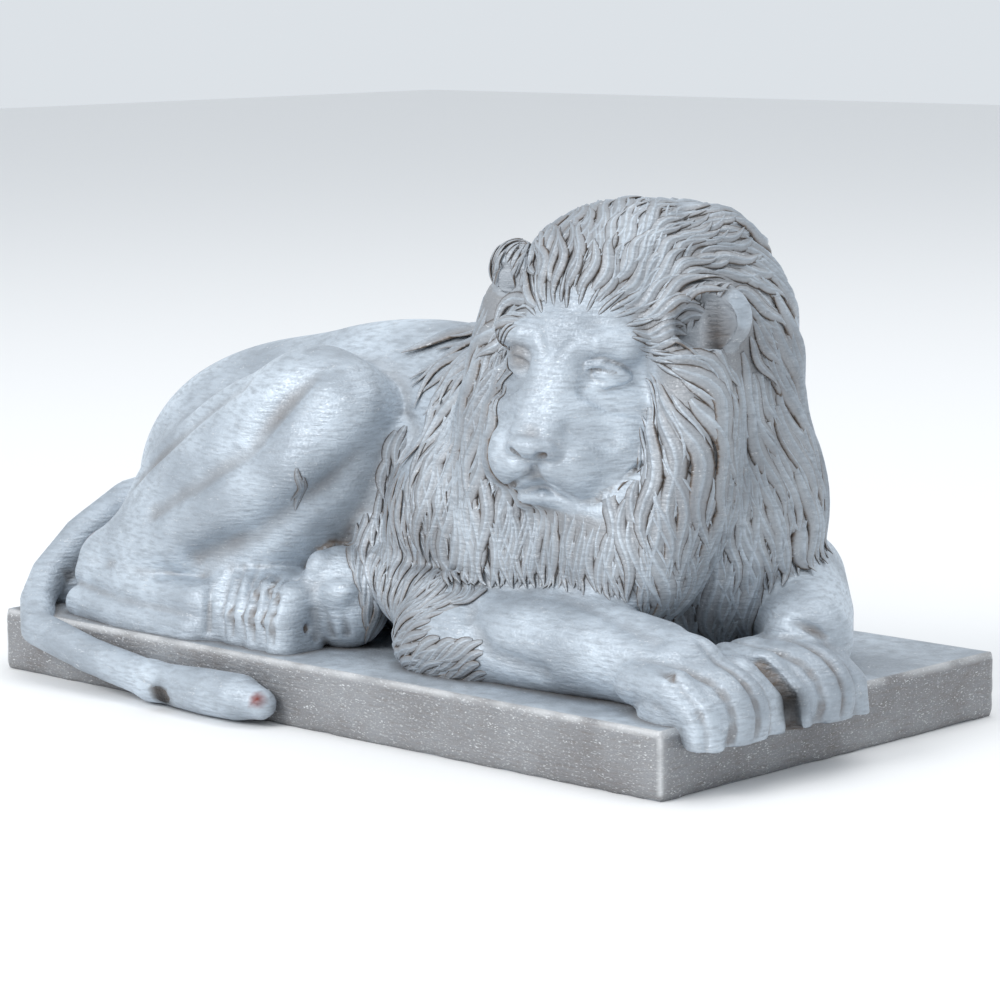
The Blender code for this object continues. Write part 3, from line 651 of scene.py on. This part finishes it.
# The slab is printed with the lion: a plain block with slightly uneven sides. Its paint is rubbed thin and
# brownish, with metal flakes painted as bright glints, painted shade where the lion meets it, and a pale
# line along the edges that is partly wear and partly painted highlight.
SLAB_STEP = 0.0008
SLAB_EDGE = 0.0005
SIDE_DEPTH = 0.0006
LAYER_RIPPLE = 0.00012
BROAD_RIPPLE = 0.0001
CHIPPED_FOOT = 0.00035
WEAR_AND_HIGHLIGHT_WIDTH = 0.0008


def slab_mesh():
    bm = bmesh.new()
    size = Matrix.Diagonal((SLAB_LENGTH, SLAB_WIDTH, SLAB_HEIGHT, 1))
    bmesh.ops.create_cube(bm, size=1, matrix=Matrix.Translation((0, 0, SLAB_HEIGHT / 2)) @ size)
    bmesh.ops.bevel(bm, geom=bm.edges[:], offset=SLAB_EDGE, segments=2, affect="EDGES")
    block = bpy.data.meshes.new("slab_block")
    bm.to_mesh(block)
    bm.free()
    return remeshed(block, SLAB_STEP)


slab_skin = slab_mesh()
places = vertices_of(slab_skin)
half = np.array([SLAB_LENGTH / 2, SLAB_WIDTH / 2, SLAB_HEIGHT / 2])
inset = half - np.abs(places - (0, 0, SLAB_HEIGHT / 2))
ripple = np.array([noise.noise(Vector(place) * 260) for place in places])
layers = places * (90, 90, 1400)
rough_side = np.array([noise.noise(Vector(place)) for place in layers])
sideways = places / np.maximum(np.linalg.norm(places[:, :2], axis=1, keepdims=True), 1e-6)
sideways[:, 2] = 0
on_side = np.min(inset[:, :2], axis=1) < SIDE_DEPTH
places -= np.where(on_side, LAYER_RIPPLE * (1 + rough_side) + BROAD_RIPPLE * ripple, 0)[:, None] * sideways
low = (places[:, 2] < SLAB_STEP) & on_side
places[:, 2] += np.where(low, CHIPPED_FOOT * np.clip(ripple + 0.3, 0, 1), 0)
slab_skin.vertices.foreach_set("co", places.ravel())
slab_skin.update()
slab_skin.shade_smooth()
near_lion = distance((places - ORIGIN) / SHARE, forms)
edge_near = np.sort(inset, axis=1)[:, 1]
# Painted shade: the slab darkens towards where the lion meets it.
shaded = np.clip(0.75 - near_lion / 2.2, 0, 0.75)
stored(slab_skin, "wash_and_shade", np.maximum(shaded, np.where(on_side, 0.62, 0.1)))
# The slab's sides get more of the painted flake glints.
stored(slab_skin, "glinting_flakes", np.where(on_side, 0.5, 0.0))
# Pale line along the slab's upper edges: partly wear, partly a painted highlight where the edges catch the
# light.
wear_and_highlight = np.clip(1.25 - edge_near / WEAR_AND_HIGHLIGHT_WIDTH, 0, 1) * np.clip(0.8 + ripple, 0, 1)
stored(slab_skin, "wear_and_highlight", wear_and_highlight * (places[:, 2] > 0.001))
slab_skin.materials.append(paint)
slab = bpy.data.objects.new("slab", slab_skin)
bpy.context.scene.collection.objects.link(slab)

# The mane hangs in long waving locks, each pointed at its tip and combed into a few strands. A lock is a
# strip of modelling paste in the original, laid over the one behind it.
LOCK_STATIONS = 14
SHORTEST = 5
STOP_GAP = 0.8
ROOT_SEED = 7
LOCK_SEED = 3

# Comb strokes in the face's frame: where the hair is, and the way it is combed there
MANE_STROKES = np.array([
    ((-3, 0, 9), (-0.8, 0, 1)),
    ((-6, 6, 10), (-0.8, 0.5, 0.8)),
    ((-6, -6, 10), (-0.8, -0.5, 0.7)),
    ((-12, 0, 17), (-1, 0, 0.1)),
    ((-5, 9, 3), (-0.3, 1, 0.1)),
    ((-5, 13, -3), (-0.1, 0.35, -1)),
    ((-4, 10, -9), (0.1, 0.1, -1)),
    ((-5, -9, 4), (-0.2, -0.5, -0.7)),
    ((-5, -11, -5), (0, -0.1, -1)),
    ((-3, -9, -14), (0, 0.1, -1)),
    ((-1, 0, -17), (0.1, 0.15, -1)),
    ((-3, 8, -18), (0, 0.15, -1)),
    ((-6, 0, -26), (0, 0.35, -1)),
    ((-8, 16, -14), (0, 0.25, -1)),
    ((-14, 18, -2), (-0.4, 0.3, -1)),
    ((-20, 8, 12), (-1, 0.2, -0.4)),
    ((-25, 0, 0), (-0.4, 0, -1)),
    ((-14, -12, 2), (-0.4, -0.2, -1)),
    ((-12, -12, -14), (0, 0.1, -1)),
], float)


def tangent(ways, normals):
    flat = ways - np.sum(ways * normals, axis=1, keepdims=True) * normals
    return flat / (np.linalg.norm(flat, axis=1, keepdims=True) + 1e-9)


def combing(strokes):
    """The way the hair lies, as the comb strokes near by say."""
    places = strokes[:, 0]
    ways = strokes[:, 1] / np.linalg.norm(strokes[:, 1], axis=1, keepdims=True)

    def flow(points, normals):
        pull = 1 / (np.linalg.norm(points[:, None] - places, axis=2) + 1.0) ** 4
        return tangent((pull @ ways) / pull.sum(axis=1, keepdims=True), normals)

    return flow


def spaced(points, gap, seed):
    order = np.random.default_rng(seed).permutation(len(points))
    picked = np.empty((0, 3))
    for point in points[order]:
        if len(picked) == 0 or np.min(np.sum((picked - point) ** 2, axis=1)) > gap * gap:
            picked = np.vstack([picked, point])
    return picked


def combed(roots, forms, flow, length, wave, sway, rise, half_width, stop, seed):
    """Lines of stations along the hair, the way out of the skin at each, and the lock's half width there."""
    chance = np.random.default_rng(seed)
    lengths = length * chance.uniform(0.75, 1.15, len(roots))
    widths = half_width * chance.uniform(0.75, 1.15, len(roots))
    lay = chance.uniform(-0.15, 0.25, len(roots)) * half_width
    pace = (lengths / (LOCK_STATIONS - 1))[:, None]
    phase = 0.22 * roots[:, 0] + 0.3 * roots[:, 1] + chance.uniform(-0.5, 0.5, len(roots))
    here = roots.copy()
    lines = []
    outs = []
    for station in range(LOCK_STATIONS):
        _, normals = outward(here, forms)
        along = station / (LOCK_STATIONS - 1)
        lines.append(here + normals * (lay + rise * (along - 0.25))[:, None])
        outs.append(normals)
        way = flow(here, normals)
        side = np.cross(normals, way)
        swing = sway * np.cos(phase + 2 * math.pi * station * pace[:, 0] / wave)
        way = tangent(way + side * swing[:, None], normals)
        here = settled(here + way * pace, forms, 1)
    lines = np.stack(lines, axis=1)
    outs = np.stack(outs, axis=1)
    blocked = distance(lines.reshape(-1, 3), stop).reshape(lines.shape[:2]) < STOP_GAP
    last = np.where(blocked.any(axis=1), blocked.argmax(axis=1), LOCK_STATIONS - 1)
    kept = last >= SHORTEST
    lines, outs, widths, last = lines[kept], outs[kept], widths[kept], last[kept]
    rows = np.arange(len(lines))[:, None]
    drawn = np.linspace(0, 1, LOCK_STATIONS) * last[:, None]
    before = np.minimum(drawn.astype(int), LOCK_STATIONS - 2)
    part = (drawn - before)[:, :, None]
    lines = lines[rows, before] * (1 - part) + lines[rows, before + 1] * part
    outs = outs[rows, before] * (1 - part) + outs[rows, before + 1] * part
    along = np.linspace(0, 1, LOCK_STATIONS)
    shape = np.clip(np.sin(math.pi * (0.03 + 0.97 * along) ** 0.75), 0.03, 1) ** 0.75
    return lines, outs, widths[:, None] * shape


def sum_node(tree, operation, *values):
    node = tree.nodes.new("ShaderNodeMath")
    node.operation = operation
    for socket, value in zip(node.inputs, values):
        if isinstance(value, (int, float)):
            socket.default_value = value
        else:
            tree.links.new(value, socket)
    return node.outputs[0]


def lock_tree():
    """Sweeps a strand-combed profile along each line, as wide as the line's own half width says."""
    tree = bpy.data.node_groups.new("combed_locks", "GeometryNodeTree")
    new_socket = tree.interface.new_socket
    new_socket("Locks", in_out="OUTPUT", socket_type="NodeSocketGeometry")
    new_socket("Lines", in_out="INPUT", socket_type="NodeSocketGeometry")
    new_socket("Sides", in_out="INPUT", socket_type="NodeSocketInt")
    new_socket("Strands", in_out="INPUT", socket_type="NodeSocketFloat")
    new_socket("Groove", in_out="INPUT", socket_type="NodeSocketFloat")
    new_socket("Thickness", in_out="INPUT", socket_type="NodeSocketFloat")
    new_socket("Paint", in_out="INPUT", socket_type="NodeSocketMaterial")
    nodes = tree.nodes
    links = tree.links
    given = nodes.new("NodeGroupInput").outputs
    made = nodes.new("NodeGroupOutput").inputs
    circle = nodes.new("GeometryNodeCurvePrimitiveCircle")
    links.new(given["Sides"], circle.inputs["Resolution"])
    circle.inputs["Radius"].default_value = 1
    split = nodes.new("ShaderNodeSeparateXYZ")
    links.new(nodes.new("GeometryNodeInputPosition").outputs[0], split.inputs[0])
    across = sum_node(tree, "MULTIPLY", sum_node(tree, "ARCSINE", split.outputs["Y"]), 2 / math.pi)
    turns = sum_node(tree, "MULTIPLY", sum_node(tree, "ADD", across, 1.0), given["Strands"])
    dip = sum_node(tree, "ADD", sum_node(tree, "MULTIPLY", sum_node(tree, "COSINE", sum_node(
        tree, "MULTIPLY", turns, math.pi)), 0.5), 0.5)
    crown = sum_node(tree, "SUBTRACT", 1.0, sum_node(tree, "MULTIPLY", dip, given["Groove"]))
    bulge = sum_node(tree, "MULTIPLY", split.outputs["X"], crown)
    height = sum_node(tree, "MULTIPLY", bulge, given["Thickness"])
    join = nodes.new("ShaderNodeCombineXYZ")
    links.new(height, join.inputs["X"])
    links.new(across, join.inputs["Y"])
    place = nodes.new("GeometryNodeSetPosition")
    links.new(join.outputs[0], place.inputs["Position"])
    # Painted shade darkens each lock's low sides, towards the skin, and brown wash fills the grooves between
    # its strands.
    low = sum_node(tree, "SUBTRACT", 1.0, sum_node(tree, "MAXIMUM", split.outputs["X"], 0.0))
    dark = sum_node(tree, "ADD", sum_node(tree, "MULTIPLY", dip, 0.35), sum_node(tree, "MULTIPLY", low, 0.75))
    wash_and_shade = nodes.new("GeometryNodeStoreNamedAttribute")
    wash_and_shade.inputs["Name"].default_value = "wash_and_shade"
    capture = nodes.new("GeometryNodeCaptureAttribute")
    links.new(circle.outputs["Curve"], capture.inputs["Geometry"])
    capture.capture_items.new("FLOAT", "dark")
    links.new(dark, capture.inputs["dark"])
    links.new(capture.outputs["Geometry"], place.inputs["Geometry"])
    links.new(place.outputs["Geometry"], wash_and_shade.inputs["Geometry"])
    links.new(capture.outputs["dark"], wash_and_shade.inputs["Value"])
    curve = nodes.new("GeometryNodeMeshToCurve")
    links.new(given["Lines"], curve.inputs["Mesh"])
    out = nodes.new("GeometryNodeInputNamedAttribute")
    out.data_type = "FLOAT_VECTOR"
    out.inputs["Name"].default_value = "out"
    turn = nodes.new("GeometryNodeSetCurveNormal")
    turn.mode = "FREE"
    links.new(curve.outputs["Curve"], turn.inputs["Curve"])
    links.new(out.outputs["Attribute"], turn.inputs["Normal"])
    width = nodes.new("GeometryNodeInputNamedAttribute")
    width.inputs["Name"].default_value = "half_width"
    sweep = nodes.new("GeometryNodeCurveToMesh")
    links.new(turn.outputs["Curve"], sweep.inputs["Curve"])
    links.new(wash_and_shade.outputs["Geometry"], sweep.inputs["Profile Curve"])
    links.new(width.outputs["Attribute"], sweep.inputs["Scale"])
    sweep.inputs["Fill Caps"].default_value = True
    soft = nodes.new("GeometryNodeSetShadeSmooth")
    links.new(sweep.outputs["Mesh"], soft.inputs["Geometry"])
    real = nodes.new("GeometryNodeRealizeInstances")
    links.new(soft.outputs["Geometry"], real.inputs["Geometry"])
    coat = nodes.new("GeometryNodeSetMaterial")
    links.new(real.outputs["Geometry"], coat.inputs["Geometry"])
    links.new(given["Paint"], coat.inputs["Material"])
    links.new(coat.outputs["Geometry"], made["Locks"])
    return tree


def locks_piece(name, lines, outs, widths, **inputs):
    count, stations = lines.shape[:2]
    mesh = bpy.data.meshes.new(name + "_lines")
    index = np.arange(count * stations).reshape(count, stations)
    edges = np.stack([index[:, :-1].ravel(), index[:, 1:].ravel()], axis=1)
    mesh.from_pydata((lines.reshape(-1, 3) * SHARE + ORIGIN).tolist(), edges.tolist(), [])
    upward = mesh.attributes.new("out", "FLOAT_VECTOR", "POINT")
    upward.data.foreach_set("vector", outs.ravel().astype(np.float32))
    stored(mesh, "half_width", widths.ravel() * SHARE)
    combs = bpy.data.objects.new(name + "_lines", mesh)
    bpy.context.scene.collection.objects.link(combs)
    sweep = combs.modifiers.new("locks", "NODES")
    sweep.node_group = LOCKS
    inputs["Paint"] = paint
    for socket in LOCKS.interface.items_tree:
        if socket.in_out == "INPUT" and socket.name in inputs:
            sweep[socket.identifier] = inputs[socket.name]
    swept = bpy.data.meshes.new_from_object(combs.evaluated_get(bpy.context.evaluated_depsgraph_get()))
    bpy.data.objects.remove(combs)
    piece = bpy.data.objects.new(name, swept)
    bpy.context.scene.collection.objects.link(piece)
    return piece


def dressed(
        name, chosen, flow, gap, length, half_width, strands,
        wave=12.0, sway=0.45, rise=0.7, groove=0.55, thickness=0.5, stop=()):
    roots = spaced(points[chosen], gap, ROOT_SEED)
    lines, outs, widths = combed(roots, forms, flow, length, wave, sway, rise, half_width, stop, LOCK_SEED)
    piece = locks_piece(
        name, lines, outs, widths,
        Sides=4 * strands + 4, Strands=float(strands), Groove=groove, Thickness=thickness)
    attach(piece, "root")
    return piece


LOCKS = lock_tree()
MANE_STROKES = np.stack([MANE_STROKES[:, 0] @ HEAD.T + EYES, MANE_STROKES[:, 1] @ HEAD.T], axis=1)
mane_flow = combing(MANE_STROKES)
legs = fore_leg_forms()
seen = face_frame(points)
hair = on_mane(points)
ears = distance(points, ear_forms()) < 0.9
stops = legs + ear_forms()
beard = hair & ~ears & (np.abs(seen[:, 1] - 1) < 8) & (seen[:, 2] < -12) & (seen[:, 0] > -3)
far_ear = distance(points, ear_forms()[:1]) < 2.2
crown = hair & ~ears & ~far_ear & (seen[:, 2] > 3) & (seen[:, 0] > -8) & ~beard
nape = hair & ~ears & ~far_ear & ((points[:, 1] > 3) | (seen[:, 0] < -14)) & ~crown
front = hair & ~ears & ~beard & ~crown & ~nape
dressed("mane_locks", front, mane_flow, 1.6, 17, 1.1, 3, rise=0.35, stop=stops)
dressed("nape_locks", nape, mane_flow, 2.1, 16, 1.5, 3, rise=0.35, stop=stops)
dressed("beard", beard, mane_flow, 1.2, 13, 0.8, 3, wave=9, sway=0.4, rise=0.4, stop=legs)
dressed("crown_tufts", crown, mane_flow, 1.1, 7.5, 0.75, 3, wave=7, sway=0.55, rise=0.45)

# Fine hair fans up and out of the cups of the ears. It is printed with them, in short strands that lie
# close to the cup.
EAR_STROKES = np.stack([EYES + HEAD @ (-1, 14, 5), HEAD @ (0.2, 0.5, 1)])[None]
ear_hair = ears & (seen[:, 0] > -6) & (seen[:, 2] < 8.6) & (distance(points, ear_forms()[2:3]) < -0.3)
ear_hair |= ears & (seen[:, 1] < 0) & (distance(points, ear_forms()[:1]) < 0.4)
dressed("ear_hair", ear_hair, combing(EAR_STROKES), 0.8, 3.2, 0.4, 2, sway=0.2, rise=0.5)

# Longer fur is combed down over the belly's fringe and the upper arm, and fans back from the elbow. Its
# tufts lie flat on the print, each parted into three strands.
FUR_STROKES = np.array([
    ((-1, -13, 21), (-0.1, -0.2, -1)),
    ((-4, -15, 12), (0.1, 0, -1)),
    ((5, -14, 16), (0.25, -0.1, -1)),
    ((3, -16, 7), (0.3, 0, -1)),
    ((13, -16, 11), (0.1, -0.2, -1)),
    ((12, -22, 4), (-0.9, -0.2, -0.5)),
    ((22, -22, 2), (-0.9, -0.2, -0.4)),
], float)
fur_flow = combing(FUR_STROKES)
x, y, z = points.T
fringe = (distance(points, fringe_forms()) < 0.5) & (z > 1) & (x < 8)
elbow = (x > 4) & (x < 22) & (y < -17) & (z > 0.2) & (z < 4.5)
arm = (x > -6) & (x < 17) & (y < -9) & (z > 1) & (z < 20) & ~hair & (distance(points, legs[1:]) > 0.3)
arm &= (distance(points, hind_feet_forms()) > 1.2) & (x + 0.25 * z > -2)
off_haunch = distance(points, body_forms()[5:10]) > 0.5
fur = (fringe | arm) & off_haunch | elbow
dressed("fur_tufts", fur, fur_flow, 1.1, 6.0, 0.62, 3, wave=7, sway=0.3, rise=0.1, thickness=0.4)

# Fine short hairs soften the line where the mane leaves the brow and the cheeks. They are single strands,
# printed as low ridges.
hair_line = smoothed(mesh, hair.astype(float), 30)
edge_hair = ~hair & ~ears & (hair_line > 0.1) & (seen[:, 0] > -7) & (seen[:, 2] > -9)
edge_hair |= hair & (hair_line < 0.8) & (seen[:, 0] > -7) & (seen[:, 2] > -9) & ~ears
dressed("edge_hairs", edge_hair, mane_flow, 0.85, 4.2, 0.32, 1, sway=0.25, rise=0.15, stop=stops)

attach(lion, "root")
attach(slab, "root")
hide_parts("lion_statue")

# The statue stands on a plain pale floor in soft daylight, seen by a long lens from its front right.
CAMERA_AZIMUTH = math.radians(43.81)
CAMERA_HEIGHT = math.radians(8.59)
CAMERA_ROLL = math.radians(-0.435)
CAMERA_TARGET = Vector((3.05, 0, 21.67)) * SHARE
CAMERA_DISTANCE = 388.7 * SHARE
CAMERA_LENS = 128.2
floor_mesh = bpy.data.meshes.new("floor")
floor_mesh.from_pydata([(-2, -2, 0), (2, -2, 0), (2, 2, 0), (-2, 2, 0)], [], [(0, 1, 2, 3)])
floor = bpy.data.objects.new("floor", floor_mesh)
bpy.context.scene.collection.objects.link(floor)
pale = bpy.data.materials.new("pale_floor")
pale.use_nodes = True
pale.node_tree.nodes["Principled BSDF"].inputs["Base Color"].default_value = (0.86, 0.86, 0.86, 1)
pale.node_tree.nodes["Principled BSDF"].inputs["Roughness"].default_value = 0.9
floor_mesh.materials.append(pale)

back = Vector((
    math.sin(CAMERA_AZIMUTH) * math.cos(CAMERA_HEIGHT),
    -math.cos(CAMERA_AZIMUTH) * math.cos(CAMERA_HEIGHT),
    math.sin(CAMERA_HEIGHT)))
camera = bpy.data.objects.new("camera", bpy.data.cameras.new("camera"))
bpy.context.scene.collection.objects.link(camera)
camera.data.sensor_width = 36
camera.data.lens = CAMERA_LENS
camera.data.clip_start = 0.01
camera.location = CAMERA_TARGET + back * CAMERA_DISTANCE
camera.rotation_mode = "QUATERNION"
camera.rotation_quaternion = (-back).to_track_quat("-Z", "Y") @ Quaternion((0, 0, 1), CAMERA_ROLL)
bpy.context.scene.camera = camera

world = bpy.data.worlds.new("daylight")
world.use_nodes = True
world.node_tree.nodes["Background"].inputs["Color"].default_value = (0.90, 0.95, 1.0, 1)
world.node_tree.nodes["Background"].inputs["Strength"].default_value = 0.8
bpy.context.scene.world = world
for name, place, width, power in (
        ("window", (-0.15, -0.85, 0.6), 0.5, 5.5), ("sky", (0.1, 0.2, 1.0), 0.8, 3.6)):
    lamp = bpy.data.objects.new(name, bpy.data.lights.new(name, "AREA"))
    lamp.data.size = width
    lamp.data.energy = power
    lamp.location = place
    lamp.rotation_euler = (Vector((0, 0, 0.03)) - Vector(place)).to_track_quat("-Z", "Y").to_euler()
    bpy.context.scene.collection.objects.link(lamp)
bpy.context.scene.view_settings.view_transform = "Standard"
